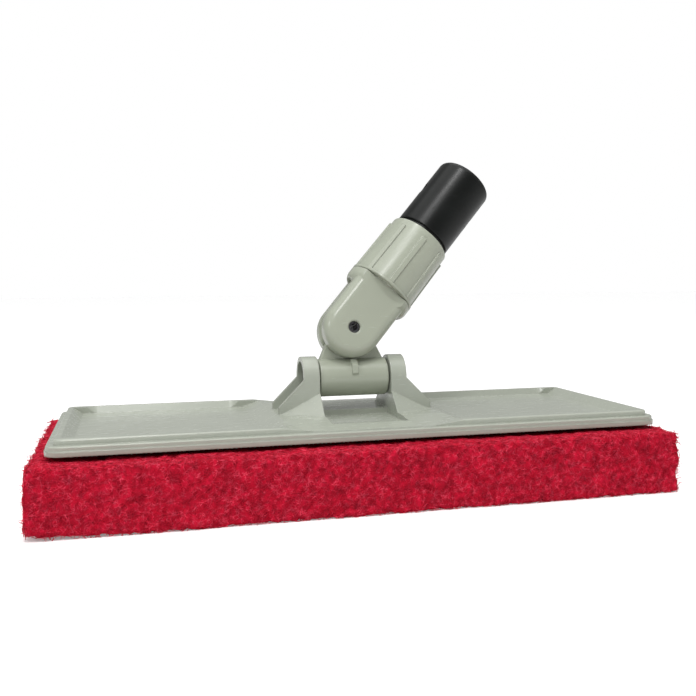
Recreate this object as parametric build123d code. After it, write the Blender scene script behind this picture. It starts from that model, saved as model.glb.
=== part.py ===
"""Swivel-head scrub pad holder: a moulded pad plate on a thick non-woven pad, a two-axis
swivel joint and a pole sleeve held by a screw-on ribbed collar.

Frame: X runs along the plate, Y across it (front is -Y), Z is up, and the origin is the centre
of the pad's bottom face. Units are millimetres and degrees. The head is drawn in its resting
pose, tilted back and leaned over; every piece of it is drawn upright in the frame of its own
pivot first and is then set in place.
"""

from build123d import *

import math
import os

# ---------------------------------------------------------------- scrub pad
PAD_LENGTH = 250.0
PAD_WIDTH = 115.0
PAD_THICK = 25.0
PAD_CORNER_R = 8.0
PAD_TOP_R = 3.5
PAD_BOTTOM_R = 1.5

# ---------------------------------------------------------------- hook strips, glued in recesses
STRIP_LENGTH = 226.0
STRIP_WIDTH = 32.0
STRIP_OFFSET = 26.0         # strip's centre line from the plate's centre line
STRIP_PROUD = 1.3           # how far it stands out of the plate's underside
STRIP_RECESS = 0.6

# ---------------------------------------------------------------- plate
PLATE_LENGTH = 241.0
PLATE_WIDTH = 92.0
PLATE_CORNER_R = 6.0
EDGE_LAYER = 1.8            # lower layer of the stepped edge
EDGE_STEP = 0.5             # how far the upper layer is set in
LEDGE_HEIGHT = 3.6
RIM_INSET = 3.1             # plate's edge to the rim's outer wall
RIM_WIDTH = 2.4
RIM_HEIGHT = 5.8
RIM_R = 1.0
TRAY_FLOOR = 3.0
TRAY_DRAFT = 32.0
TRAY_CORNER_R = 3.0
TRAY_RAMP = 9.0             # slope from the tray's floor up to the middle deck
TRAY_END_RAMP = 4.0         # slope from the tray's floor up to the rim at the plate's end
DECK_HALF_LENGTH = 33.0     # middle deck, between the two trays
DECK_FADE_START = 21.0      # rim starts to rise out of the deck here
DECK_FADE_END = 37.0
DECK_FLAT_HALF = 24.0       # level part of the deck, across the plate
TROUGH_DEPTH = 2.3
TROUGH_BACK = -2.4
TROUGH_FRONT = -22.0
TROUGH_RUNOUT = -38.0
TROUGH_LIP = 0.4            # below the deck where the trough runs out

# ---------------------------------------------------------------- ears and lower pin
PIVOT_HEIGHT = 19.4         # lower pin's axis above the plate's underside
EAR_GAP = 30.6              # between the ears' inner faces
EAR_TOP_R = 9.2
EAR_WEB = 2.8
EAR_WIDTH = 6.7             # web and rim wall together
EAR_WALL = 2.0
FLARE_REACH = 9.0           # how far the web's foot runs out past the round top
FLARE_HEIGHT = 9.0
GUSSET_REACH = 10.6
GUSSET_TOE = 2.8
PIN_R = 2.5
PIN_RUN = 0.05              # radial running clearance of a pin
PIN_HEAD_R = 4.2
PIN_HEAD = 1.5
PIN_TAIL = 1.7
RETAINER_R = 4.6
RETAINER_THICK = 0.8

# ---------------------------------------------------------------- swivel block
BARREL_R = 8.0
BARREL_SIDE_GAP = 0.6
TONGUE_THICK = 5.0
TONGUE_FOOT = 27.0
TONGUE_TOP_R = 7.2
LINK_LENGTH = 20.0          # lower pin's axis to upper pin's axis
BLOCK_RIB_WIDTH = 2.5
BLOCK_RIB_PROUD = 0.8
BLOCK_RIB_RISE = 3.0        # how far the rib runs up the tongue
SWING_GAP = 0.4             # yoke's round end to the block, and the tongue's ends to the slot

# ---------------------------------------------------------------- yoke
YOKE_R = 12.5
YOKE_FLAT = 11.2            # flat faces' distance from the axis
YOKE_EDGE_R = 4.2           # round between the flat faces and the sides
SLOT_SIDE_GAP = 0.35
SLOT_END = 18.5
SHOULDER_R = 15.4
SHOULDER_START = 16.8
SHOULDER_END = 23.0
SHOULDER_FILLET = 4.0
PIN_SINK = 1.2              # pin's ends below the flat faces
PIN_MOUTH = 0.5
ROLL_PIN_BORE_R = 1.5
ROLL_PIN_SLIT = 0.8
SPIGOT_R = 12.35
SPIGOT_END = 38.0
SPIGOT_FLOOR = 26.0
SPIGOT_WALL = 1.4

# ---------------------------------------------------------------- locking collar
COLLAR_BOTTOM_R = 14.6
COLLAR_LIP_R = 14.05
COLLAR_END = 52.9
COLLAR_FLANGE = 1.2
COLLAR_LIP = 2.6
COLLAR_SEAT_GAP = 0.3
THREAD_RUN = 0.06
RIB_COUNT = 8
GRIP_RIB_WIDTH = 2.4
GRIP_RIB_END = 49.6
GRIP_RIB_TOP_PROUD = 0.75
RIB_ROOT_SINK = 0.1
RIB_SHY = 0.25              # rib's outer face, inside the flange's edge

# ---------------------------------------------------------------- pole sleeve
SLEEVE_R = 12.9
SLEEVE_TOP = 89.0
SLEEVE_TOP_FILLET = 2.5
MOUTH_CHAMFER = 0.6
SLEEVE_RUN = 0.15           # flange inside the collar
NECK_DEPTH = 0.8
NECK_SHOW = 1.6             # neck that stands out of the collar
NECK_RUN = 0.15
FLANGE_HEIGHT = 6.0
TAIL_RUN = 0.05
TAIL_END_GAP = 1.0
POLE_R = 9.5
POLE_CLEARANCE = 0.1
POLE_DEPTH = 42.0
DRAIN_R = 4.0
BUTTON_R = 2.85
BUTTON_FROM_TOP = 16.0

# ---------------------------------------------------------------- rounding of moulded edges
EDGE_R = 0.6                # ears, yoke and tongue
SOFT_R = 0.4                # plate's layers, collar's ribs and the shoulder
ON_PLANE = 0.01             # how near an edge lies to the plane that it is looked for in
OVERRUN = 1.0               # how far a cutting tool runs past what it cuts

# ---------------------------------------------------------------- resting pose
TILT_BACK = 11.0            # swivel block, about the lower pin
LEAN_RIGHT = 40.7           # yoke, about the upper pin

# ---------------------------------------------------------------- what follows from those
PLATE_Z = PAD_THICK + STRIP_PROUD
DECK_TOP = RIM_HEIGHT
EAR_INNER = EAR_GAP / 2
EAR_OUTER = EAR_INNER + EAR_WIDTH
TONGUE_HALF = TONGUE_THICK / 2
SLOT_HALF = TONGUE_HALF + SLOT_SIDE_GAP
SPIGOT_BORE_R = SPIGOT_R - SPIGOT_WALL
NECK_R = SLEEVE_R - NECK_DEPTH
LIP_START = COLLAR_END - COLLAR_LIP
FLANGE_TOP = LIP_START - SLEEVE_RUN
FLANGE_BOTTOM = FLANGE_TOP - FLANGE_HEIGHT
TAIL_R = SPIGOT_BORE_R - TAIL_RUN
TAIL_END = SPIGOT_FLOOR + TAIL_END_GAP
POLE_BORE_R = POLE_R + POLE_CLEARANCE
POLE_BORE_END = SLEEVE_TOP - POLE_DEPTH
BUTTON_HEIGHT = SLEEVE_TOP - BUTTON_FROM_TOP

BLOCK_PLACE = Pos(0, 0, PLATE_Z + PIVOT_HEIGHT) * Rot(-TILT_BACK, 0, 0)
YOKE_PLACE = BLOCK_PLACE * Pos(0, 0, LINK_LENGTH) * Rot(0, LEAN_RIGHT, 0)


def slab(length, width, radius, bottom, top):
    """Level plate with round corners between two heights."""
    outline = Plane.XY.offset(bottom) * RectangleRounded(length, width, radius)
    return extrude(outline, top - bottom)


def bar(x_range, y_range, z_range):
    """Rectangular block from its three ranges."""
    size = [high - low for low, high in (x_range, y_range, z_range)]
    centre = [(high + low) / 2 for low, high in (x_range, y_range, z_range)]
    return Pos(*centre) * Box(*size)


def prism_x(points, x_start, x_end):
    """Outline of (y, z) points pushed along X."""
    face = make_face(Polyline(*[(x_start, y, z) for y, z in points], close=True).edges())
    return extrude(face, x_end - x_start, dir=(1, 0, 0))


def prism_y(points, y_start, y_end):
    """Outline of (x, z) points pushed along Y."""
    face = make_face(Polyline(*[(x, y_start, z) for x, z in points], close=True).edges())
    return extrude(face, y_end - y_start, dir=(0, 1, 0))


def rod_x(radius, x_start, x_end, z=0.0):
    """Round rod along X."""
    return Pos((x_start + x_end) / 2, 0, z) * Rot(0, 90, 0) * Cylinder(radius, x_end - x_start)


def rod_y(radius, y_start, y_end, z=0.0):
    """Round rod along Y."""
    return Pos(0, (y_start + y_end) / 2, z) * Rot(90, 0, 0) * Cylinder(radius, y_end - y_start)


def rod_z(radius, z_start, z_end):
    """Round rod along Z."""
    return Pos(0, 0, (z_start + z_end) / 2) * Cylinder(radius, z_end - z_start)


def turned(points):
    """Outline of (radius, z) points turned about Z."""
    face = make_face(Polyline(*[(r, 0, z) for r, z in points], close=True).edges())
    return revolve(face, Axis.Z)


def edges_on(shape, axis, place):
    """Edges that lie wholly in the plane at one place along an axis, "X", "Y" or "Z"."""
    def lies_there(edge):
        box = edge.bounding_box()
        return all(abs(getattr(end, axis) - place) < ON_PLANE for end in (box.min, box.max))

    return shape.edges().filter_by(lies_there)


def edges_at(shape, height):
    """Edges that lie wholly at one height."""
    return edges_on(shape, "Z", height)


# ---------------------------------------------------------------- pad and hook strips
def scrub_pad():
    """Thick non-woven pad, a plain soft block."""
    pad = slab(PAD_LENGTH, PAD_WIDTH, PAD_CORNER_R, 0, PAD_THICK)
    pad = fillet(edges_at(pad, PAD_THICK), PAD_TOP_R)
    return fillet(edges_at(pad, 0), PAD_BOTTOM_R)


def hook_strip(side):
    """Strip of stiff hooks that bites into the pad; side is -1 in front and 1 behind."""
    y = side * STRIP_OFFSET
    y_range = (y - STRIP_WIDTH / 2, y + STRIP_WIDTH / 2)
    top = PLATE_Z + STRIP_RECESS
    return bar((-STRIP_LENGTH / 2, STRIP_LENGTH / 2), y_range, (PLATE_Z - STRIP_PROUD, top))


# ---------------------------------------------------------------- plate, z = 0 at its underside
def tray(side):
    """Sloping-walled pocket at one end of the plate, with a ramp at each of its ends."""
    inner = DECK_HALF_LENGTH + TRAY_RAMP
    rim = PLATE_LENGTH / 2 - RIM_INSET - RIM_WIDTH
    outer = rim - TRAY_END_RAMP
    depth = RIM_HEIGHT - TRAY_FLOOR
    width = PLATE_WIDTH - 2 * (RIM_INSET + RIM_WIDTH)
    mouth = RectangleRounded(outer - inner, width, TRAY_CORNER_R + depth)
    top = Plane.XY.offset(RIM_HEIGHT) * Pos(side * (inner + outer) / 2, 0) * mouth
    pocket = extrude(top, depth, dir=(0, 0, -1), taper=TRAY_DRAFT)
    side_wall = depth * math.tan(math.radians(TRAY_DRAFT))
    ramps = [
        (side * DECK_HALF_LENGTH, RIM_HEIGHT),
        (side * rim, RIM_HEIGHT),
        (side * outer, TRAY_FLOOR),
        (side * inner, TRAY_FLOOR),
    ]
    half = width / 2 - side_wall
    return pocket + prism_y(ramps, -half, half)


def deck_fall(side):
    """What is cut away so that the middle deck falls to the ledge and the rim fades out."""
    edge = PLATE_WIDTH / 2 - EDGE_STEP
    above = RIM_HEIGHT + OVERRUN
    over = PLATE_WIDTH / 2 + OVERRUN
    fall = (RIM_HEIGHT - LEDGE_HEIGHT) / (edge - DECK_FLAT_HALF)
    across = [
        (side * (DECK_FLAT_HALF - OVERRUN / fall), above),
        (side * edge, LEDGE_HEIGHT),
        (side * over, LEDGE_HEIGHT),
        (side * over, above),
    ]
    rise = (RIM_HEIGHT - LEDGE_HEIGHT) / (DECK_FADE_END - DECK_FADE_START)
    along = [
        (-DECK_FADE_END - OVERRUN / rise, above),
        (-DECK_FADE_START, LEDGE_HEIGHT),
        (DECK_FADE_START, LEDGE_HEIGHT),
        (DECK_FADE_END + OVERRUN / rise, above),
    ]
    over_x = DECK_FADE_END + OVERRUN / rise
    return prism_x(across, -over_x, over_x) & prism_y(along, -over, over)


def trough():
    """Sunk strip in front of the barrel, which runs out into the sloping deck."""
    floor = DECK_TOP - TROUGH_DEPTH
    section = [
        (TROUGH_BACK, DECK_TOP + OVERRUN),
        (TROUGH_BACK, floor),
        (TROUGH_FRONT, floor),
        (TROUGH_RUNOUT, DECK_TOP - TROUGH_LIP),
        (TROUGH_RUNOUT, DECK_TOP + OVERRUN),
    ]
    return prism_x(section, -EAR_INNER, EAR_INNER)


def ear_foot(end, foot, toe):
    """Sloping foot of an ear: it spreads from nothing at the gusset's toe to the web's inner face."""
    near = end * (EAR_TOP_R - EAR_WALL / 2)
    far = end * (EAR_TOP_R + FLARE_REACH)
    crest = DECK_TOP + FLARE_HEIGHT
    flank = [
        (EAR_INNER, near, foot),
        (EAR_INNER, far, foot),
        (EAR_INNER, far, DECK_TOP),
        (EAR_INNER, near, crest),
    ]
    tip = [
        (toe, near, foot),
        (toe, end * EAR_TOP_R, foot),
        (toe, end * EAR_TOP_R, DECK_TOP),
        (toe, near, DECK_TOP),
    ]
    faces = [make_face(Polyline(*outline, close=True).edges()) for outline in (flank, tip)]
    return loft(faces, ruled=True)


def ear(side):
    """One ear: a web beside the barrel, a rim wall round its outer side and two gussets."""
    top = PIVOT_HEIGHT
    foot = TRAY_FLOOR
    web_end = EAR_INNER + EAR_WEB

    toe = EAR_OUTER + GUSSET_REACH
    body = bar((EAR_INNER, EAR_OUTER), (-EAR_TOP_R, EAR_TOP_R), (foot, top))
    body += rod_x(EAR_TOP_R, EAR_INNER, EAR_OUTER, top)

    gusset = [
        (web_end, foot),
        (toe, foot),
        (toe, DECK_TOP + GUSSET_TOE),
        (EAR_OUTER, top),
        (web_end, top),
    ]
    inner_y = EAR_TOP_R - EAR_WALL
    body += prism_y(gusset, -EAR_TOP_R, -inner_y)
    body += prism_y(gusset, inner_y, EAR_TOP_R)
    for end in (-1, 1):
        body += ear_foot(end, foot, toe)

    hollow = bar((web_end, toe + OVERRUN), (-inner_y, inner_y), (DECK_TOP, top))
    hollow += rod_x(inner_y, web_end, toe + OVERRUN, top)
    body -= hollow
    inner_arc = edges_on(body, "X", EAR_INNER).filter_by(GeomType.CIRCLE)
    body = fillet(inner_arc, SOFT_R)
    body -= rod_x(PIN_R, 0, toe, top)
    return body if side > 0 else mirror(body, Plane.YZ)


def base_plate():
    """Pad plate with its stepped edge, rimmed trays, middle deck and two ears."""
    plate = slab(PLATE_LENGTH, PLATE_WIDTH, PLATE_CORNER_R, 0, EDGE_LAYER)
    inset = 2 * EDGE_STEP
    upper = slab(PLATE_LENGTH - inset, PLATE_WIDTH - inset, PLATE_CORNER_R - EDGE_STEP, 0, LEDGE_HEIGHT)
    plate += fillet(edges_at(upper, LEDGE_HEIGHT), EDGE_R)

    inset = 2 * RIM_INSET
    raised = slab(PLATE_LENGTH - inset, PLATE_WIDTH - inset, PLATE_CORNER_R - RIM_INSET, 0, RIM_HEIGHT)
    raised = fillet(edges_at(raised, RIM_HEIGHT), RIM_R)
    plate += raised
    for side in (-1, 1):
        plate -= tray(side)
        plate -= deck_fall(side)
    for side in (-1, 1):
        plate += ear(side)
    plate -= trough()
    for side in (-1, 1):
        plate -= Pos(0, 0, -PLATE_Z) * hook_strip(side)
    return Pos(0, 0, PLATE_Z) * plate


def base_pin():
    """Headed steel pin through both ears and the barrel."""
    web_end = EAR_INNER + EAR_WEB
    end = web_end + RETAINER_THICK + PIN_TAIL
    pin = rod_x(PIN_R, -web_end - PIN_HEAD, end)
    pin += rod_x(PIN_HEAD_R, -web_end - PIN_HEAD, -web_end)
    pin = chamfer(pin.edges().group_by(Axis.X)[-1], PIN_R / 6)
    return Pos(0, 0, PLATE_Z + PIVOT_HEIGHT) * pin


def pin_retainer():
    """Push-on steel retainer that grips the lower pin's plain end."""
    web_end = EAR_INNER + EAR_WEB
    ring = rod_x(RETAINER_R, web_end, web_end + RETAINER_THICK)
    ring -= rod_x(PIN_R, web_end - OVERRUN, web_end + RETAINER_THICK + OVERRUN)
    return Pos(0, 0, PLATE_Z + PIVOT_HEIGHT) * ring


# ---------------------------------------------------------------- swivel block, z = 0 at the barrel's axis
def tongue():
    """Flat tapering tongue with a round top about the upper pin."""
    corner = (TONGUE_FOOT / 2, BARREL_R)
    reach = math.hypot(corner[0], LINK_LENGTH - corner[1])
    towards = math.atan2(LINK_LENGTH - corner[1], -corner[0])
    heading = towards - math.asin(TONGUE_TOP_R / reach)
    run = math.sqrt(reach ** 2 - TONGUE_TOP_R ** 2)
    touch = (corner[0] + run * math.cos(heading), corner[1] + run * math.sin(heading))
    outline = [
        (-corner[0], 0),
        (corner[0], 0),
        corner,
        touch,
        (-touch[0], touch[1]),
        (-corner[0], corner[1]),
    ]
    body = prism_y(outline, -TONGUE_HALF, TONGUE_HALF)
    body += rod_y(TONGUE_TOP_R, -TONGUE_HALF, TONGUE_HALF, LINK_LENGTH)
    faces = edges_on(body, "Y", -TONGUE_HALF) + edges_on(body, "Y", TONGUE_HALF)
    return fillet(faces, EDGE_R)


def front_rib():
    """Small rib that runs from the tongue down the front of the barrel."""
    proud = BARREL_R + BLOCK_RIB_PROUD
    rise = BARREL_R + BLOCK_RIB_RISE
    section = [
        (0, 0),
        (-BARREL_R, 0),
        (-proud, BLOCK_RIB_PROUD),
        (-proud, BARREL_R / 2),
        (-TONGUE_HALF - BLOCK_RIB_PROUD, rise),
        (0, rise),
    ]
    return prism_x(section, -BLOCK_RIB_WIDTH / 2, BLOCK_RIB_WIDTH / 2)


def swivel_block():
    """Barrel on the lower pin with the tongue for the upper pin."""
    half = EAR_INNER - BARREL_SIDE_GAP
    barrel = rod_x(BARREL_R, -half, half)
    barrel = fillet(barrel.edges().filter_by(GeomType.CIRCLE), EDGE_R)
    barrel += front_rib()
    barrel -= rod_y(YOKE_R + SWING_GAP, -YOKE_R, YOKE_R, LINK_LENGTH)
    body = barrel + tongue()
    body -= rod_x(PIN_R + PIN_RUN, -half - OVERRUN, half + OVERRUN)
    body -= rod_y(PIN_R + PIN_RUN, -BARREL_R, BARREL_R, LINK_LENGTH)
    return BLOCK_PLACE * body


# ---------------------------------------------------------------- yoke, z = 0 at the upper pin's axis
def yoke():
    """Slotted arms, shoulder and the spigot that the collar screws on."""
    body = rod_y(YOKE_R, -YOKE_FLAT, YOKE_FLAT)
    body += bar((-YOKE_R, YOKE_R), (-YOKE_FLAT, YOKE_FLAT), (0, SHOULDER_END))
    flats = edges_on(body, "Y", -YOKE_FLAT) + edges_on(body, "Y", YOKE_FLAT)
    body = fillet([edge for edge in flats if edge.bounding_box().min.Z < SHOULDER_START], YOKE_EDGE_R)
    shoulder = rod_z(SHOULDER_R, SHOULDER_START, SHOULDER_END)
    shoulder = fillet(edges_at(shoulder, SHOULDER_START), SHOULDER_FILLET)
    wide = SHOULDER_R + OVERRUN
    body += shoulder & bar((-wide, wide), (-YOKE_FLAT, YOKE_FLAT), (-wide, SHOULDER_END))
    body -= bar((-wide, wide), (-SLOT_HALF, SLOT_HALF), (-wide, SLOT_END))
    body += rod_z(SPIGOT_R, SHOULDER_END, SPIGOT_END)
    body -= rod_z(SPIGOT_BORE_R, SPIGOT_FLOOR, SPIGOT_END + OVERRUN)
    body -= rod_y(PIN_R, -YOKE_R, YOKE_R)
    for side in (-1, 1):
        flat = side * YOKE_FLAT
        mouth = Cone(PIN_R, PIN_R + PIN_MOUTH, PIN_MOUTH)
        body -= Pos(0, flat - side * PIN_MOUTH / 2, 0) * Rot(-90 * side, 0, 0) * mouth
    return YOKE_PLACE * body


def yoke_pin():
    """Rolled spring pin through the arms and the tongue."""
    half = YOKE_FLAT - PIN_SINK
    past = half + OVERRUN
    pin = rod_y(PIN_R, -half, half) - rod_y(ROLL_PIN_BORE_R, -past, past)
    pin -= bar((-ROLL_PIN_SLIT / 2, ROLL_PIN_SLIT / 2), (-past, past), (0, PIN_R + OVERRUN))
    return YOKE_PLACE * pin


# ---------------------------------------------------------------- collar and sleeve, in the yoke's frame
def locking_collar():
    """Ribbed collar: screws on the spigot and traps the sleeve's flange under its lip."""
    bottom = SHOULDER_END + COLLAR_SEAT_GAP
    thread_r = SPIGOT_R + THREAD_RUN
    chamber_r = SLEEVE_R + SLEEVE_RUN
    chamber_start = FLANGE_BOTTOM - SLEEVE_RUN
    body = Rot(0, 0, 180 / RIB_COUNT) * turned([
        (thread_r, bottom),
        (SHOULDER_R, bottom),
        (SHOULDER_R, bottom + COLLAR_FLANGE),
        (COLLAR_BOTTOM_R, bottom + COLLAR_FLANGE),
        (COLLAR_LIP_R, COLLAR_END),
        (NECK_R + NECK_RUN, COLLAR_END),
        (NECK_R + NECK_RUN, LIP_START),
        (chamber_r, LIP_START),
        (chamber_r, chamber_start),
        (thread_r, chamber_start),
    ])
    lip = edges_at(body, COLLAR_END).sort_by(SortBy.RADIUS)[-1]
    body = fillet(lip, EDGE_R)
    flange = edges_at(body, bottom).sort_by(SortBy.RADIUS)[-1]
    body = fillet(flange, SOFT_R)
    root = (chamber_r + COLLAR_LIP_R) / 2 - RIB_ROOT_SINK
    section = [
        (-root, bottom + COLLAR_FLANGE / 2),
        (-SHOULDER_R + RIB_SHY, bottom + COLLAR_FLANGE / 2),
        (-COLLAR_LIP_R - GRIP_RIB_TOP_PROUD, GRIP_RIB_END),
        (-root, GRIP_RIB_END),
    ]
    half = GRIP_RIB_WIDTH / 2
    rib = prism_x(section, -half, half)
    rib = fillet(edges_on(rib, "X", -half) + edges_on(rib, "X", half), SOFT_R)
    for index in range(RIB_COUNT):
        body += Rot(0, 0, 360 * index / RIB_COUNT) * rib
    return YOKE_PLACE * body


def pole_sleeve():
    """Sleeve for the pole: body, neck in the collar's lip, trapped flange and plain tail."""
    neck_end = COLLAR_END + NECK_SHOW
    body = rod_z(SLEEVE_R, neck_end, SLEEVE_TOP)
    body = fillet(edges_at(body, SLEEVE_TOP), SLEEVE_TOP_FILLET)
    body = fillet(edges_at(body, neck_end), NECK_DEPTH / 2)
    body += rod_z(NECK_R, FLANGE_TOP, neck_end)
    body += rod_z(SLEEVE_R, FLANGE_BOTTOM, FLANGE_TOP)
    body += rod_z(TAIL_R, TAIL_END, FLANGE_BOTTOM)
    body -= rod_z(POLE_BORE_R, POLE_BORE_END, SLEEVE_TOP + OVERRUN)
    mouth = Cone(POLE_BORE_R, POLE_BORE_R + MOUTH_CHAMFER, MOUTH_CHAMFER)
    body -= Pos(0, 0, SLEEVE_TOP - MOUTH_CHAMFER / 2) * mouth
    body -= rod_z(DRAIN_R, TAIL_END - OVERRUN, POLE_BORE_END + OVERRUN)
    body -= rod_x(BUTTON_R, -SLEEVE_R - OVERRUN, SLEEVE_R + OVERRUN, BUTTON_HEIGHT)
    return YOKE_PLACE * body


PIECES = {
    "scrub_pad": scrub_pad,
    "hook_strip_front": lambda: hook_strip(-1),
    "hook_strip_rear": lambda: hook_strip(1),
    "base_plate": base_plate,
    "base_pin": base_pin,
    "base_pin_retainer": pin_retainer,
    "swivel_block": swivel_block,
    "yoke": yoke,
    "yoke_pin": yoke_pin,
    "locking_collar": locking_collar,
    "pole_sleeve": pole_sleeve,
}

os.makedirs("parts", exist_ok=True)
for name, make in PIECES.items():
    piece = make()
    export_step(piece, f"parts/{name}.step")
    print(name, len(piece.solids()), round(piece.volume))
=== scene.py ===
"""Looks of the swivel-head scrub pad holder.

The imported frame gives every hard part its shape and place. This script dresses those parts in
their moulded and metal finishes, and models the pieces that have no hard shape: the non-woven
pad with its loose fibres, and the two strips of hooks that bite into it.
"""

import logging
import math
from dataclasses import dataclass, field
from enum import Enum

import bpy
import numpy as np
from mathutils import Matrix, Vector


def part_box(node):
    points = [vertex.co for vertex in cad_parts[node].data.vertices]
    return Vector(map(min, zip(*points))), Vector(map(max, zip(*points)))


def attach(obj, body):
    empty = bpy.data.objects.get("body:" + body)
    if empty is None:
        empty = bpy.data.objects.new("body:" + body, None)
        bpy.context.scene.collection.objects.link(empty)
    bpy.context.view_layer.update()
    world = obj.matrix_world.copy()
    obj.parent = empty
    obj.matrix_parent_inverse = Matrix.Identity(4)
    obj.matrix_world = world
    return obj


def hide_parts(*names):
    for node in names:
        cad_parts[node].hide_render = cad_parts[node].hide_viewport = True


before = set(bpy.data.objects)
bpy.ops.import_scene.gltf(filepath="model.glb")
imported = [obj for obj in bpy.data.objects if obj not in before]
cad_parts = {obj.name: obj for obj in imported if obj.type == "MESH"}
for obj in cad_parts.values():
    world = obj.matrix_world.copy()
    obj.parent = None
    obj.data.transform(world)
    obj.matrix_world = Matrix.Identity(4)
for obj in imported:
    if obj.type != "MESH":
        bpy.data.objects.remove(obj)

LOG = logging.getLogger("scrub_pad_holder")
MM = 0.001

Colour = tuple[float, float, float]
Span = tuple[float, float]


class Side(Enum):
    """Which way a face of the pad looks, with the share of its area that fibres cover."""

    FRONT = ((0.0, -1.0, 0.0), 1.0)
    BACK = ((0.0, 1.0, 0.0), 0.8)
    LEFT = ((-1.0, 0.0, 0.0), 1.0)
    RIGHT = ((1.0, 0.0, 0.0), 1.0)
    TOP = ((0.0, 0.0, 1.0), 0.9)
    BOTTOM = ((0.0, 0.0, -1.0), 0.1)

    @property
    def normal(self) -> Vector:
        """Outward direction of the face."""
        return Vector(self.value[0])

    @property
    def cover(self) -> float:
        """How many times over the fibres would cover the face."""
        return self.value[1]


# ---------------------------------------------------------------- small helpers
def deselect_all() -> None:
    """Leave object mode with nothing selected."""
    if bpy.context.object and bpy.context.object.mode != "OBJECT":
        bpy.ops.object.mode_set(mode="OBJECT")
    bpy.ops.object.select_all(action="DESELECT")


def make_active(piece: bpy.types.Object) -> None:
    """Select one object alone and make it the active one.

    Args:
        piece: The object that the next operators act on.
    """
    deselect_all()
    piece.select_set(True)
    bpy.context.view_layer.objects.active = piece


def settle(piece: bpy.types.Object) -> None:
    """Move an object's place, turn and size into its mesh.

    Args:
        piece: The mesh object, left at the origin.
    """
    make_active(piece)
    bpy.ops.object.transform_apply(location=True, rotation=True, scale=True)


def select_faces(piece: bpy.types.Object, normal: Vector) -> None:
    """Select the faces that look one way, and enter edit mode.

    Args:
        piece: The mesh object to edit.
        normal: Direction that the wanted faces look in.
    """
    make_active(piece)
    bpy.ops.object.mode_set(mode="EDIT")
    bpy.ops.mesh.select_all(action="DESELECT")
    bpy.ops.mesh.select_mode(type="FACE")
    bpy.ops.object.mode_set(mode="OBJECT")
    for face in piece.data.polygons:
        face.select = face.normal.dot(normal) > 0.99
    bpy.ops.object.mode_set(mode="EDIT")


def apply_modifier(piece: bpy.types.Object, kind: str, **settings: object) -> None:
    """Add one modifier and apply it straight away.

    Args:
        piece: The mesh object that gets the modifier.
        kind: Blender's name of the modifier type.
        **settings: The modifier's own settings.
    """
    make_active(piece)
    modifier = piece.modifiers.new(kind.title(), kind)
    for name, value in settings.items():
        setattr(modifier, name, value)
    bpy.ops.object.modifier_apply(modifier=modifier.name)


def new_block(name: str, low: Vector, high: Vector) -> bpy.types.Object:
    """Start a piece from a cube primitive that fills a box.

    Args:
        name: Name of the piece.
        low: Lowest corner of the box.
        high: Highest corner of the box.

    Returns:
        The new mesh object, at the origin.
    """
    deselect_all()
    bpy.ops.mesh.primitive_cube_add(size=1.0, location=(low + high) / 2)
    block = bpy.context.object
    block.name = name
    block.data.name = name
    block.scale = high - low
    settle(block)
    return block


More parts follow.
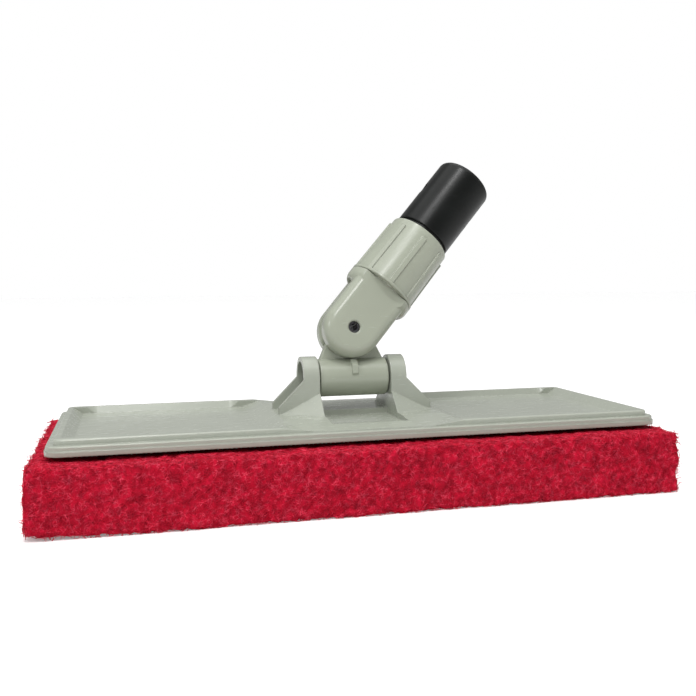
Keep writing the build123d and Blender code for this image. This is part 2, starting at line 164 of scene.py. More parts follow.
# ---------------------------------------------------------------- shader building
@dataclass
class Graph:
    """Thin wrapper round a node tree that adds and joins nodes."""

    tree: bpy.types.NodeTree

    def add(self, kind: str, **settings: object) -> bpy.types.Node:
        """Add a node.

        Args:
            kind: Node type, without its ShaderNode prefix.
            **settings: Properties of the node, such as its operation.

        Returns:
            The new node.
        """
        node = self.tree.nodes.new(f"ShaderNode{kind}")
        for name, value in settings.items():
            setattr(node, name, value)
        return node

    def feed(self, value: object, socket: bpy.types.NodeSocket) -> None:
        """Join a socket to an input, or set the input to a plain value.

        Args:
            value: Output socket, number or colour.
            socket: Input socket that takes it.
        """
        if isinstance(value, bpy.types.NodeSocket):
            self.tree.links.new(value, socket)
        elif isinstance(value, tuple) and len(value) == 3 and socket.type == "RGBA":
            socket.default_value = (*value, 1.0)
        else:
            socket.default_value = value

    def math(self, operation: str, *values: object) -> bpy.types.NodeSocket:
        """Work out a number.

        Args:
            operation: Name of the Math node's operation.
            *values: One to three sockets or numbers.

        Returns:
            The result's socket.
        """
        node = self.add("Math", operation=operation)
        for value, socket in zip(values, node.inputs):
            self.feed(value, socket)
        return node.outputs[0]

    def noise(self, scale: object, detail: float = 3.0, rough: float = 0.5) -> bpy.types.NodeSocket:
        """Noise on Object coordinates.

        Args:
            scale: Waves per metre, a number or a socket.
            detail: How many finer layers it has.
            rough: How strong the finer layers are.

        Returns:
            The noise's value, about 0.5.
        """
        place = self.add("TexCoord")
        node = self.add("TexNoise")
        self.feed(place.outputs["Object"], node.inputs["Vector"])
        self.feed(scale, node.inputs["Scale"])
        self.feed(detail, node.inputs["Detail"])
        self.feed(rough, node.inputs["Roughness"])
        return node.outputs["Fac"]

    def ramp(self, value: object, low: float, high: float) -> bpy.types.NodeSocket:
        """Stretch a value so that low becomes 0 and high becomes 1, smoothly.

        Args:
            value: Socket or number to stretch.
            low: Value that becomes 0.
            high: Value that becomes 1.

        Returns:
            The stretched value's socket.
        """
        node = self.add("MapRange", interpolation_type="SMOOTHSTEP")
        self.feed(value, node.inputs["Value"])
        self.feed(low, node.inputs["From Min"])
        self.feed(high, node.inputs["From Max"])
        return node.outputs["Result"]

    def mix(self, factor: object, first: object, second: object) -> bpy.types.NodeSocket:
        """Mix two colours.

        Args:
            factor: 0 gives the first colour and 1 the second.
            first: Colour or socket.
            second: Colour or socket.

        Returns:
            The mixed colour's socket.
        """
        node = self.add("Mix", data_type="RGBA")
        self.feed(factor, node.inputs[0])
        self.feed(first, node.inputs[6])
        self.feed(second, node.inputs[7])
        return node.outputs[2]

    def group(self, tree: bpy.types.NodeTree, **inputs: object) -> bpy.types.Node:
        """Place a node group.

        Args:
            tree: The group's tree.
            **inputs: Values of its inputs; an underscore stands for a space.

        Returns:
            The placed node.
        """
        node = self.add("Group")
        node.node_tree = tree
        for name, value in inputs.items():
            self.feed(value, node.inputs[name.replace("_", " ")])
        return node


@dataclass
class EffectGroup:
    """Shader node group with named inputs and outputs."""

    name: str
    inputs: dict[str, float]
    outputs: tuple[str, ...]

    def start(self) -> tuple[Graph, bpy.types.Node, bpy.types.Node]:
        """Make the empty group.

        Returns:
            Its graph, its input node and its output node.
        """
        tree = bpy.data.node_groups.new(self.name, "ShaderNodeTree")
        for name, value in self.inputs.items():
            socket = tree.interface.new_socket(name, in_out="INPUT", socket_type="NodeSocketFloat")
            socket.default_value = value
        for name in self.outputs:
            tree.interface.new_socket(name, in_out="OUTPUT", socket_type="NodeSocketFloat")
        graph = Graph(tree)
        source = tree.nodes.new("NodeGroupInput")
        sink = tree.nodes.new("NodeGroupOutput")
        return graph, source, sink


class Effects:
    """The shader effects that several finishes share, each built once."""

    def __init__(self) -> None:
        """Build all the groups."""
        self.mould_skin = self._mould_skin()
        self.edge_wear = self._edge_wear()
        self.hollow_grime_and_shade = self._hollow_grime_and_shade()
        self.fine_scratches = self._fine_scratches()

    def _mould_skin(self) -> bpy.types.NodeTree:
        """Grain and slow waviness of a moulded surface, as a height in metres.

        Returns:
            The group's tree.
        """
        shape = EffectGroup(
            "mould_skin",
            {"Grain Scale": 2600.0, "Grain Depth": 0.00001, "Wave Scale": 90.0, "Wave Depth": 0.00006},
            ("Height", "Tone"),
        )
        graph, source, sink = shape.start()
        grain = graph.noise(source.outputs["Grain Scale"], detail=2.0)
        wave = graph.noise(source.outputs["Wave Scale"], detail=1.0)
        fine = graph.math("MULTIPLY", grain, source.outputs["Grain Depth"])
        slow = graph.math("MULTIPLY", wave, source.outputs["Wave Depth"])
        graph.feed(graph.math("ADD", fine, slow), sink.inputs["Height"])
        graph.feed(wave, sink.inputs["Tone"])
        return graph.tree

    def _edge_wear(self) -> bpy.types.NodeTree:
        """Broken-up mask along sharp edges.

        Returns:
            The group's tree.
        """
        shape = EffectGroup("edge_wear", {"Radius": 0.0006, "Patch Scale": 220.0}, ("Mask",))
        graph, source, sink = shape.start()
        rounded = graph.add("Bevel", samples=4)
        graph.feed(source.outputs["Radius"], rounded.inputs["Radius"])
        plain = graph.add("NewGeometry")
        facing = graph.add("VectorMath", operation="DOT_PRODUCT")
        graph.feed(rounded.outputs["Normal"], facing.inputs[0])
        graph.feed(plain.outputs["Normal"], facing.inputs[1])
        bend = graph.math("SUBTRACT", 1.0, facing.outputs["Value"])
        patches = graph.ramp(graph.noise(source.outputs["Patch Scale"], detail=4.0), 0.4, 0.7)
        edge = graph.ramp(bend, 0.02, 0.2)
        graph.feed(graph.math("MULTIPLY", edge, patches), sink.inputs["Mask"])
        return graph.tree

    def _hollow_grime_and_shade(self) -> bpy.types.NodeTree:
        """Patchy mask in hollows and corners: grime on the plastics, painted shade in the pad's web.

        Returns:
            The group's tree.
        """
        shape = EffectGroup("hollow_grime_and_shade", {"Reach": 0.004, "Patch Scale": 120.0}, ("Mask",))
        graph, source, sink = shape.start()
        hollow = graph.add("AmbientOcclusion", samples=4, only_local=True)
        graph.feed(source.outputs["Reach"], hollow.inputs["Distance"])
        closed = graph.math("SUBTRACT", 1.0, hollow.outputs["AO"])
        patches = graph.ramp(graph.noise(source.outputs["Patch Scale"], detail=5.0), 0.3, 0.75)
        graph.feed(graph.math("MULTIPLY", closed, patches), sink.inputs["Mask"])
        return graph.tree

    def _fine_scratches(self) -> bpy.types.NodeTree:
        """Thin rubbed lines from thin cells of stretched noise.

        Returns:
            The group's tree.
        """
        shape = EffectGroup("fine_scratches", {"Scale": 160.0, "Stretch": 9.0}, ("Mask",))
        graph, source, sink = shape.start()
        place = graph.add("TexCoord")
        along = graph.add("Mapping")
        graph.feed(place.outputs["Object"], along.inputs["Vector"])
        along.inputs["Rotation"].default_value = (0.4, 0.7, 0.9)
        stretch = graph.add("CombineXYZ")
        graph.feed(1.0, stretch.inputs[0])
        graph.feed(source.outputs["Stretch"], stretch.inputs[1])
        graph.feed(source.outputs["Stretch"], stretch.inputs[2])
        graph.feed(stretch.outputs[0], along.inputs["Scale"])
        lines = graph.add("TexNoise")
        graph.feed(along.outputs["Vector"], lines.inputs["Vector"])
        graph.feed(source.outputs["Scale"], lines.inputs["Scale"])
        graph.feed(2.0, lines.inputs["Detail"])
        graph.feed(graph.ramp(lines.outputs["Fac"], 0.62, 0.75), sink.inputs["Mask"])
        return graph.tree


# ---------------------------------------------------------------- finishes
def start_material(name: str) -> tuple[bpy.types.Material, Graph, bpy.types.Node]:
    """Make a node material that holds a Principled shader.

    Args:
        name: The material's name.

    Returns:
        The material, its graph and its shader node.
    """
    material = bpy.data.materials.new(name)
    material.use_nodes = True
    graph = Graph(material.node_tree)
    shader = next(node for node in material.node_tree.nodes if node.type == "BSDF_PRINCIPLED")
    return material, graph, shader


@dataclass(frozen=True)
class MouldedPlastic:
    """Moulded plastic with grain, rubbed edges and grime in its corners."""

    name: str
    colour: Colour
    rubbed: Colour
    grime: Colour
    roughness: float
    grain_depth: float = 0.005 * MM
    wave_depth: float = 0.02 * MM
    edge_radius: float = 0.6 * MM
    tone_drift: float = 0.018
    grime_share: float = 0.3
    scratch_share: float = 0.15
    gloss: float = 0.5
    rub_share: float = 0.6
    grime_dulling: float = 0.3

    def build(self, effects: Effects) -> bpy.types.Material:
        """Make the material.

        Args:
            effects: The shared effect groups.

        Returns:
            The finished material.
        """
        material, graph, shader = start_material(self.name)
        skin = graph.group(effects.mould_skin, Grain_Depth=self.grain_depth, Wave_Depth=self.wave_depth)
        wear = graph.group(effects.edge_wear, Radius=self.edge_radius)
        dirt = graph.group(effects.hollow_grime_and_shade)
        lines = graph.group(effects.fine_scratches)

        darker = tuple(channel * (1 - self.tone_drift) for channel in self.colour)
        lighter = tuple(min(1.0, channel * (1 + self.tone_drift)) for channel in self.colour)
        drift = graph.ramp(skin.outputs["Tone"], 0.35, 0.65)
        body = graph.mix(drift, darker, lighter)
        worn = graph.mix(graph.math("MULTIPLY", wear.outputs["Mask"], self.rub_share), body, self.rubbed)
        dirty = graph.math("MULTIPLY", dirt.outputs["Mask"], self.grime_share)
        graph.feed(graph.mix(dirty, worn, self.grime), shader.inputs["Base Color"])

        dulled = graph.math("MULTIPLY", lines.outputs["Mask"], self.scratch_share)
        grimy = graph.math("MULTIPLY", dirty, self.grime_dulling)
        rough = graph.math("ADD", graph.math("ADD", dulled, grimy), self.roughness)
        graph.feed(rough, shader.inputs["Roughness"])

        rounded = graph.add("Bevel", samples=4)
        rounded.inputs["Radius"].default_value = self.edge_radius
        bump = graph.add("Bump")
        bump.inputs["Distance"].default_value = 1.0
        graph.feed(skin.outputs["Height"], bump.inputs["Height"])
        graph.feed(rounded.outputs["Normal"], bump.inputs["Normal"])
        graph.feed(bump.outputs["Normal"], shader.inputs["Normal"])
        shader.inputs["Specular IOR Level"].default_value = self.gloss
        return material


@dataclass(frozen=True)
class DullSteel:
    """Plain steel with a drawn surface and a little tarnish."""

    name: str
    colour: Colour
    tarnish: Colour
    roughness: float
    tarnish_scale: float = 500.0
    tarnish_dulling: float = 0.2
    edge_radius: float = 0.3 * MM
    edge_shine: float = 1.5
    line_depth: float = 0.02 * MM

    def build(self, effects: Effects) -> bpy.types.Material:
        """Make the material.

        Args:
            effects: The shared effect groups.

        Returns:
            The finished material.
        """
        material, graph, shader = start_material(self.name)
        patches = graph.ramp(graph.noise(self.tarnish_scale, detail=5.0), 0.4, 0.7)
        lines = graph.group(effects.fine_scratches, Scale=900.0, Stretch=14.0)
        wear = graph.group(effects.edge_wear, Radius=self.edge_radius)
        dark = graph.mix(patches, self.colour, self.tarnish)
        bright = tuple(min(1.0, channel * self.edge_shine) for channel in self.colour)
        graph.feed(graph.mix(wear.outputs["Mask"], dark, bright), shader.inputs["Base Color"])
        rough = graph.math("MULTIPLY_ADD", patches, self.tarnish_dulling, self.roughness)
        graph.feed(rough, shader.inputs["Roughness"])
        shader.inputs["Metallic"].default_value = 1.0
        bump = graph.add("Bump")
        bump.inputs["Distance"].default_value = self.line_depth
        graph.feed(lines.outputs["Mask"], bump.inputs["Height"])
        graph.feed(bump.outputs["Normal"], shader.inputs["Normal"])
        return material


@dataclass(frozen=True)
class FibreWeb:
    """Resin-bonded fibre: bright strands over dark crevices, with clotted patches. The crevice colour is
    painted shade, laid into the web's pits and hollows.
    """

    name: str
    strand: Colour
    pale: Colour
    crevice_shade: Colour
    clot_scale: float = 340.0
    mottle_scale: float = 520.0
    roughness: float = 0.7
    crevice_shade_share: float = 0.4
    bump: float = 0.6 * MM
    gloss: float = 0.1
    rough_drift: float = 0.25

    def build(self, effects: Effects) -> bpy.types.Material:
        """Make the material.

        Args:
            effects: The shared effect groups.

        Returns:
            The finished material.
        """
        material, graph, shader = start_material(self.name)
        # Painted shade: the dark crevice colour goes where clotted noise and the hollow mask mark the
        # web's pits, standing in for the shade inside them.
        clots = graph.ramp(graph.noise(self.clot_scale, detail=3.0), 0.35, 0.68)
        mottle = graph.noise(self.mottle_scale, detail=5.0, rough=0.7)
        light = graph.mix(graph.ramp(mottle, 0.42, 0.66), self.strand, self.pale)
        shade = graph.math("MULTIPLY", clots, self.crevice_shade_share)
        hollow = graph.group(effects.hollow_grime_and_shade, Reach=0.002, Patch_Scale=700.0)
        deep = graph.math("MAXIMUM", shade, hollow.outputs["Mask"])
        graph.feed(graph.mix(deep, light, self.crevice_shade), shader.inputs["Base Color"])
        lowest = self.roughness - 0.12
        rough = graph.math("MULTIPLY_ADD", mottle, self.rough_drift, lowest)
        graph.feed(rough, shader.inputs["Roughness"])
        bump = graph.add("Bump")
        bump.inputs["Distance"].default_value = self.bump
        graph.feed(mottle, bump.inputs["Height"])
        graph.feed(bump.outputs["Normal"], shader.inputs["Normal"])
        shader.inputs["Specular IOR Level"].default_value = self.gloss
        return material


@dataclass(frozen=True)
class Palette:
    """Every finish of the object."""

    grey_shell: MouldedPlastic = MouldedPlastic(
        "grey_shell", (0.365, 0.388, 0.33), (0.55, 0.57, 0.50), (0.22, 0.22, 0.17), 0.26,
        scratch_share=0.05, wave_depth=0.007 * MM,
    )
    grey_head: MouldedPlastic = MouldedPlastic(
        "grey_head", (0.345, 0.37, 0.298), (0.53, 0.55, 0.48), (0.20, 0.20, 0.15), 0.24,
        scratch_share=0.05, wave_depth=0.012 * MM,
    )
    black_sleeve: MouldedPlastic = MouldedPlastic(
        "black_sleeve", (0.0055, 0.0065, 0.006), (0.04, 0.043, 0.041), (0.014, 0.014, 0.013), 0.3,
        grain_depth=0.009 * MM, scratch_share=0.22, tone_drift=0.2, grime_share=0.25, gloss=0.22,
    )
    hook_resin: MouldedPlastic = MouldedPlastic(
        "hook_resin", (0.30, 0.29, 0.26), (0.42, 0.41, 0.38), (0.3, 0.06, 0.07), 0.5, grime_share=0.6
    )
    # The pin steel is dark, and partly painted shade: its darkness also stands in for the shade in the
    # bores the pins sit sunk in.
    pin_steel: DullSteel = DullSteel("pin_steel", (0.10, 0.10, 0.105), (0.035, 0.033, 0.03), 0.42)
    retainer_steel: DullSteel = DullSteel("retainer_steel", (0.4, 0.4, 0.41), (0.2, 0.19, 0.17), 0.4)
    # The third colour of each fibre finish is painted shade for the pits of the web.
    web: FibreWeb = FibreWeb("fibre_web", (0.46, 0.003, 0.022), (0.62, 0.008, 0.040), (0.11, 0.001, 0.006))
    strands: FibreWeb = FibreWeb(
        "fibre_strands", (0.56, 0.004, 0.028), (0.90, 0.075, 0.14), (0.20, 0.001, 0.010),
        crevice_shade_share=0.45, roughness=0.6, bump=0.2 * MM, gloss=0.15,
    )


# ---------------------------------------------------------------- pad
@dataclass
class ScrubPad:
    """Thick non-woven pad: a lumpy core and a mat of loose curved fibres on each face."""

    effects: Effects
    palette: Palette
    shrink: Span = (0.6 * MM, 0.1 * MM)
    edge_bevel: float = 1.2 * MM
    short_end: float = 1.6 * MM
    long_end: float = 2.5 * MM
    end_slant: float = 1.5 * MM
    end_lift: float = 1.1 * MM
    floor_gap: float = 0.1 * MM
    press: float = 0.15 * MM
    voxel: float = 1.2 * MM
    swell: tuple[tuple[float, float], ...] = ((0.045, 1.0 * MM), (0.009, 0.4 * MM), (0.003, 1.1 * MM))
    fibre_radius: float = 0.085 * MM
    fibre_length: Span = (2.5 * MM, 8.0 * MM)
    fibre_points: int = 5
    fibre_curl: float = 2.2
    fibre_sink: float = 0.15 * MM
    thickest: float = 1.3
    mat_fibres: int = 5000
    loft: Span = (0.05 * MM, 0.5 * MM)
    stray_share: float = 0.01
    stray_loft: Span = (0.2 * MM, 0.5 * MM)
    room: float = 0.5 * MM
    plate_gap: float = 0.5 * MM
    plate_tuck: float = 3.0 * MM
    plate_rise: float = 0.6 * MM
    seed: int = 11
    core: bpy.types.Object = field(init=False)

    def __post_init__(self) -> None:
        """Read the pad's and the plate's boxes from the frame."""
        self.low, self.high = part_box("scrub_pad")
        self.plate_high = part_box("base_plate")[1]
        self.random = np.random.default_rng(self.seed)

    def build(self) -> list[bpy.types.Object]:
        """Model the core and the fibres.

        Returns:
            The pieces, the core first.
        """
        self.core = self._core()
        mats = [mat for side in Side for mat in self._mats(side)]
        return [self.core, *mats]

    def _core(self) -> bpy.types.Object:
        """Rounded block, remeshed and pushed about so that no face of it is flat.

        Returns:
            The core.
        """
        sides, bottom = self.shrink
        low = self.low + Vector((sides - self.long_end, sides, bottom))
        high = self.high - Vector((sides + self.short_end, sides, sides))
        core = new_block("scrub_pad_core", low, high)
        make_active(core)
        bpy.ops.object.mode_set(mode="EDIT")
        bpy.ops.mesh.select_all(action="SELECT")
        bpy.ops.mesh.bevel(offset=self.edge_bevel, segments=3, affect="EDGES")
        bpy.ops.object.mode_set(mode="OBJECT")
        apply_modifier(core, "REMESH", mode="VOXEL", voxel_size=self.voxel)
        for index, (wavelength, height) in enumerate(self.swell):
            texture = bpy.data.textures.new(f"pad_swell_{index}", "CLOUDS")
            texture.noise_scale = wavelength
            texture.noise_depth = 2
            apply_modifier(
                core, "DISPLACE", texture=texture, strength=height * 2,
                mid_level=0.5, texture_coords="LOCAL",
            )
        self._press_under_plate(core)
        make_active(core)
        bpy.ops.object.shade_smooth()
        return core

    def _press_under_plate(self, core: bpy.types.Object) -> None:
        """Hold the top under the plate, curl the free end up and keep the rest on the floor.

        Args:
            core: The core, whose vertices move.
        """
        places = np.empty(len(core.data.vertices) * 3)
        core.data.vertices.foreach_get("co", places)
        places = places.reshape(-1, 3)
        slant = np.clip(-places[:, 0] / self.high.x, 0, 1) ** 8
        rise = np.clip(places[:, 2] / self.high.z, 0, 1)
        places[:, 0] += self.end_slant * slant * rise
        curl = np.clip(-places[:, 0] / self.high.x, 0, 1) ** 3
        places[:, 2] += self.end_lift * curl * (1 - rise)
        under = (np.abs(places[:, 0]) < self.plate_high.x) & (np.abs(places[:, 1]) < self.plate_high.y)
        places[under, 2] = np.minimum(places[under, 2], self.high.z - self.press)
        places[:, 2] = np.maximum(places[:, 2], self.low.z + self.floor_gap)
        core.data.vertices.foreach_set("co", places.ravel())
        core.data.update()

    def _roots(self, side: Side) -> tuple[np.ndarray, np.ndarray]:
        """Faces of the core that look one way and aren't hidden by the plate.

        Args:
            side: Which way they look.

        Returns:
            Their centres, and their areas.
        """
        count = len(self.core.data.polygons)
        centres = np.empty(count * 3)
        normals = np.empty(count * 3)
        areas = np.empty(count)
        self.core.data.polygons.foreach_get("center", centres)
        self.core.data.polygons.foreach_get("normal", normals)
        self.core.data.polygons.foreach_get("area", areas)
        centres = centres.reshape(-1, 3)
        normals = normals.reshape(-1, 3)
        keep = normals @ np.array(side.normal) > 0.55
        if side is Side.TOP:
            past_end = np.abs(centres[:, 0]) > self.plate_high.x - self.plate_tuck
            past_side = np.abs(centres[:, 1]) > self.plate_high.y - self.plate_tuck
            keep &= past_end | past_side
        return centres[keep], areas[keep]

    def _mats(self, side: Side) -> list[bpy.types.Object]:
        """Mats of fibres that lie along one face of the core.

        Args:
            side: The face.

        Returns:
            The mats, as many as keep each one light enough.
        """
        centres, areas = self._roots(side)
        mean = sum(self.fibre_length) / 2
        count = int(areas.sum() * side.cover / (mean * 2 * self.fibre_radius))
        chosen = centres[self.random.choice(len(centres), count, p=areas / areas.sum())]
        shares = np.array_split(chosen, math.ceil(count / self.mat_fibres))
        name = f"fibres_{side.name.lower()}"
        return [self._mat(f"{name}_{index}", side, roots) for index, roots in enumerate(shares, 1)]

    def _mat(self, name: str, side: Side, roots: np.ndarray) -> bpy.types.Object:
        """One mat of fibres.

        Args:
            name: Name of the piece.
            side: The face that it lies along.
            roots: Middles of its fibres.

        Returns:
            The mat, one mesh of closed tubes.
        """
        curve = bpy.data.curves.new(name, "CURVE")
        curve.dimensions = "3D"
        curve.bevel_depth = self.fibre_radius
        curve.bevel_resolution = 0
        curve.use_fill_caps = True
        for root in roots:
            points = self._strand(root, side)
            spline = curve.splines.new("POLY")
            spline.points.add(len(points) - 1)
            flat = np.concatenate([points, np.ones((len(points), 1))], axis=1)
            spline.points.foreach_set("co", flat.ravel())
            size = self.random.uniform(2 - self.thickest, self.thickest)
            spline.points.foreach_set("radius", np.full(len(points), size))
        strands = bpy.data.objects.new(curve.name, curve)
        bpy.context.scene.collection.objects.link(strands)
        make_active(strands)
        bpy.ops.object.convert(target="MESH")
        bpy.ops.object.shade_smooth()
        return bpy.context.object

    def _strand(self, root: np.ndarray, side: Side) -> np.ndarray:
        """Points of one fibre, an arc that lifts off the face and dips back in.

        Args:
            root: Middle of the fibre, on the core.
            side: The face that it lies along.

        Returns:
            The points, one row each.
        """
        out = np.array(side.normal)
        spin = self.random.uniform(0, 2 * math.pi)
        first = np.roll(out, 1)
        second = np.cross(out, first)
        along = math.cos(spin) * first + math.sin(spin) * second
        across = np.cross(out, along)
        length = self.random.uniform(*self.fibre_length)
        turn = self.random.normal(0, self.fibre_curl)
        stray = self.random.random() < self.stray_share
        loft = self.random.uniform(*(self.stray_loft if stray else self.loft))
        steps = np.linspace(-0.5, 0.5, self.fibre_points)
        heading = turn * steps
        run = np.cumsum(np.cos(heading)) * length / self.fibre_points
        sway = np.cumsum(np.sin(heading)) * length / self.fibre_points
        run -= run.mean()
        sway -= sway.mean()
        rise = loft * np.cos(steps * math.pi) - self.fibre_sink
        if stray:
            rise = loft * (steps + 0.5) ** 1.5
        points = root + np.outer(run, along) + np.outer(sway, across) + np.outer(rise, out)
        return self._keep_in_room(points)

    def _keep_in_room(self, points: np.ndarray) -> np.ndarray:
        """Hold fibre points close round the pad, above the floor and clear of the plate.

        Args:
            points: The fibre's points.

        Returns:
            The points, moved where they were too far out.
        """
        low = np.array(self.low) - self.room
        low[0] -= self.long_end + self.room
        high = np.array(self.high) + self.room
        low[2] = self.low.z + self.thickest * self.fibre_radius
        ends = np.abs(points[:, 0]) < self.plate_high.x + self.plate_gap
        sides = np.abs(points[:, 1]) < self.plate_high.y + self.plate_gap
        points = np.clip(points, low, high)
        ceiling = np.where(ends & sides, self.high.z + self.plate_rise, high[2])
        points[:, 2] = np.minimum(points[:, 2], ceiling)
        return points

    def dress(self, pieces: list[bpy.types.Object]) -> None:
        """Give the pieces their finish and body.

        Args:
            pieces: The core and then the mats.
        """
        core, *mats = pieces
        core.data.materials.append(self.palette.web.build(self.effects))
        loose = self.palette.strands.build(self.effects)
        for mat in mats:
            mat.data.materials.append(loose)
        for piece in pieces:
            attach(piece, "base")
        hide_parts("scrub_pad")


# ---------------------------------------------------------------- hook strips
@dataclass
class HookStrip:
    """Strip of moulded mushroom hooks that stands for one plain strip of the frame."""

    node: str
    material: bpy.types.Material
    backing: float = 0.9 * MM
    pitch: float = 1.7 * MM
    stem_radius: float = 0.22 * MM
    stem_share: float = 0.7
    head_radius: float = 0.45 * MM
    head_taper: float = 0.6
    rim: float = 0.3 * MM
    rim_depth: float = 0.1 * MM

    def __post_init__(self) -> None:
        """Read the strip's box from the frame."""
        self.low, self.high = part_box(self.node)

    def build(self) -> bpy.types.Object:
        """Model the backing and its rows of hooks.

        Returns:
            The strip, one mesh.
        """
        root = Vector((self.low.x, self.low.y, self.high.z - self.backing))
        backing = new_block(f"{self.node}_hooks", root, self.high)
        select_faces(backing, Vector((0, 0, -1)))
        bpy.ops.mesh.inset(thickness=self.rim, depth=self.rim_depth)
        bpy.ops.object.mode_set(mode="OBJECT")
        hook = self._hook()
        columns = int((self.high.x - self.low.x - self.pitch) / self.pitch)
        rows = int((self.high.y - self.low.y - self.pitch) / self.pitch)
        apply_modifier(
            hook, "ARRAY", count=columns, use_relative_offset=False,
            use_constant_offset=True, constant_offset_displace=(self.pitch, 0, 0),
        )
        apply_modifier(
            hook, "ARRAY", count=rows, use_relative_offset=False,
            use_constant_offset=True, constant_offset_displace=(0, self.pitch, 0),
        )
        make_active(backing)
        hook.select_set(True)
        bpy.ops.object.join()
        return backing

    def _hook(self) -> bpy.types.Object:
        """One mushroom hook at the strip's first corner.

        Returns:
            The hook, head down.
        """
        root = self.high.z - self.backing
        tall = root - self.low.z
        stem = tall * self.stem_share
        deselect_all()
        bpy.ops.mesh.primitive_cylinder_add(
            vertices=5, radius=self.stem_radius, depth=stem,
            location=(self.low.x + self.pitch, self.low.y + self.pitch, root - stem / 2),
        )
        hook = bpy.context.object
        settle(hook)
        select_faces(hook, Vector((0, 0, -1)))
        bpy.ops.mesh.extrude_region_move()
        bpy.ops.transform.resize(value=(self.head_radius / self.stem_radius,) * 2 + (1,))
        bpy.ops.mesh.extrude_region_move(TRANSFORM_OT_translate={"value": (0, 0, stem - tall)})
        bpy.ops.transform.resize(value=(self.head_taper, self.head_taper, 1))
        bpy.ops.object.mode_set(mode="OBJECT")
        return hook

    def dress(self, strip: bpy.types.Object) -> None:
        """Give the strip its finish and body.

        Args:
            strip: The strip that build made.
        """
        strip.data.materials.append(self.material)
        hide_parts(self.node)
        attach(strip, "base")


# ---------------------------------------------------------------- hard parts from the frame
@dataclass
class HardParts:
    """The moulded and steel parts, whose shapes the frame already has right."""

    effects: Effects
    palette: Palette

    def dress(self) -> dict[str, bpy.types.Material]:
        """Put each part's finish on it.

        Returns:
            The material of each node.
        """
        shell = self.palette.grey_shell.build(self.effects)
        head = self.palette.grey_head.build(self.effects)
        pin = self.palette.pin_steel.build(self.effects)
        finishes = {
            "base_plate": shell,
            "swivel_block": head,
            "yoke": head,
            "locking_collar": head,
            "pole_sleeve": self.palette.black_sleeve.build(self.effects),
            "base_pin": pin,
            "yoke_pin": pin,
            "base_pin_retainer": self.palette.retainer_steel.build(self.effects),
        }
        for node, material in finishes.items():
            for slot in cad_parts[node].material_slots:
                slot.material = material
        return finishes


# ---------------------------------------------------------------- studio
@dataclass
class StudioCamera:
    """Camera near the front left, that looks slightly down over the plate."""

    place: tuple[float, float, float] = (-0.0899, -0.3740, 0.0881)
    yaw: float = 0.2781
    pitch: float = -0.0829
    roll: float = -0.0047
    lens: float = 46.75
    shift: tuple[float, float] = (-0.0588, 0.0059)

    def build(self) -> bpy.types.Object:
        """Make the camera and set it as the scene's.

        Returns:
            The camera.
        """
        ahead = Vector((
            math.sin(self.yaw) * math.cos(self.pitch),
            math.cos(self.yaw) * math.cos(self.pitch),
            math.sin(self.pitch),
        ))
        level = Vector((math.cos(self.yaw), -math.sin(self.yaw), 0.0))
        above = level.cross(ahead)
        right = level * math.cos(self.roll) + above * math.sin(self.roll)
        up = above * math.cos(self.roll) - level * math.sin(self.roll)
        data = bpy.data.cameras.new("studio_camera")
        data.lens = self.lens
        data.sensor_width = 36.0
        data.shift_x, data.shift_y = self.shift
        data.clip_start = 0.01
        camera = bpy.data.objects.new("studio_camera", data)
        bpy.context.scene.collection.objects.link(camera)
        turn = Matrix((right, up, -ahead)).transposed().to_4x4()
        camera.matrix_world = Matrix.Translation(self.place) @ turn
        bpy.context.scene.camera = camera
        return camera


@dataclass
class SoftBox:
    """Square area light that looks at the object."""

    name: str
    place: tuple[float, float, float]
    size: float
    power: float
    aim: tuple[float, float, float] = (0.0, 0.0, 0.05)

    def build(self) -> None:
        """Make the light."""
        data = bpy.data.lights.new(self.name, "AREA")
        data.size = self.size
        data.energy = self.power
        light = bpy.data.objects.new(self.name, data)
        bpy.context.scene.collection.objects.link(light)
        light.location = self.place
        towards = Vector(self.aim) - Vector(self.place)
        light.rotation_euler = towards.to_track_quat("-Z", "Y").to_euler()


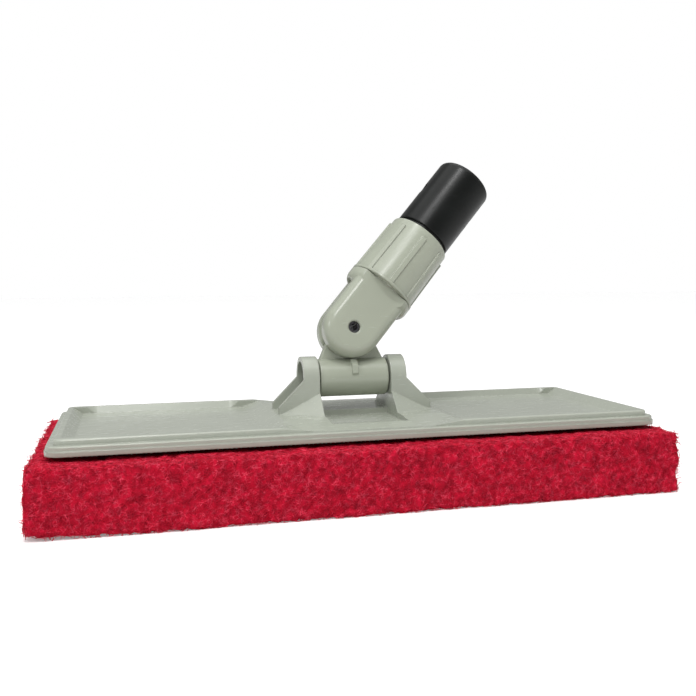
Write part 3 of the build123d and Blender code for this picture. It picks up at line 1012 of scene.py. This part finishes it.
@dataclass
class Studio:
    """Pale floor, pale surround, an overhead diffuser and soft boxes."""

    floor_half: float = 4.0
    surround: float = 0.36
    overhead: float = 1.5
    overhead_spread: float = math.radians(70)
    floor_glow: float = 0.25
    boxes: tuple[SoftBox, ...] = (
        SoftBox("key_box", (-0.25, -0.75, 0.85), 0.22, 3.0),
        SoftBox("strip_box", (-0.09, -0.36, 0.93), 0.10, 2.4),
        SoftBox("side_box", (-0.9, -0.45, 0.5), 0.25, 1.6),
        SoftBox("fill_box", (0.9, -0.5, 0.45), 0.6, 0.35),
    )

    def build(self) -> None:
        """Make the floor, the surround and the lights."""
        deselect_all()
        bpy.ops.mesh.primitive_plane_add(size=2 * self.floor_half, location=(0, 0, 0))
        floor = bpy.context.object
        floor.name = "studio_floor"
        material, graph, shader = start_material("floor_paper")
        tone = graph.mix(graph.noise(3.0), (0.9, 0.9, 0.9), (0.92, 0.92, 0.92))
        graph.feed(tone, shader.inputs["Base Color"])
        shader.inputs["Roughness"].default_value = 0.9
        shader.inputs["Emission Color"].default_value = (1.0, 1.0, 1.0, 1.0)
        seen = graph.add("LightPath").outputs["Is Camera Ray"]
        graph.feed(graph.math("MULTIPLY", seen, self.floor_glow), shader.inputs["Emission Strength"])
        floor.data.materials.append(material)
        world = bpy.data.worlds.new("pale_surround")
        world.use_nodes = True
        backdrop = Graph(world.node_tree)
        background = world.node_tree.nodes["Background"]
        background.inputs["Color"].default_value = (1.0, 1.0, 1.0, 1.0)
        seen = backdrop.add("LightPath").outputs["Is Camera Ray"]
        level = backdrop.math("MAXIMUM", seen, self.surround)
        backdrop.feed(level, background.inputs["Strength"])
        bpy.context.scene.world = world
        diffuser = bpy.data.lights.new("overhead_diffuser", "SUN")
        diffuser.energy = self.overhead
        diffuser.angle = self.overhead_spread
        overhead = bpy.data.objects.new("overhead_diffuser", diffuser)
        bpy.context.scene.collection.objects.link(overhead)
        for box in self.boxes:
            box.build()


def main() -> None:
    """Build and dress every sub-assembly, then light the scene."""
    logging.basicConfig(level=logging.INFO, format="%(name)s: %(message)s")
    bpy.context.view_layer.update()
    effects = Effects()
    palette = Palette()

    parts = HardParts(effects, palette).dress()
    for node, material in parts.items():
        LOG.info("part %s wears %s", node, material.name)

    resin = palette.hook_resin.build(effects)
    for node in ("hook_strip_front", "hook_strip_rear"):
        strip = HookStrip(node, resin)
        piece = strip.build()
        strip.dress(piece)
        LOG.info("piece %s has %d faces", piece.name, len(piece.data.polygons))

    pad = ScrubPad(effects, palette)
    pieces = pad.build()
    pad.dress(pieces)
    for piece in pieces:
        LOG.info("piece %s has %d faces", piece.name, len(piece.data.polygons))

    Studio().build()
    StudioCamera().build()
    bpy.context.scene.view_settings.view_transform = "Standard"


if __name__ == "__main__":
    main()
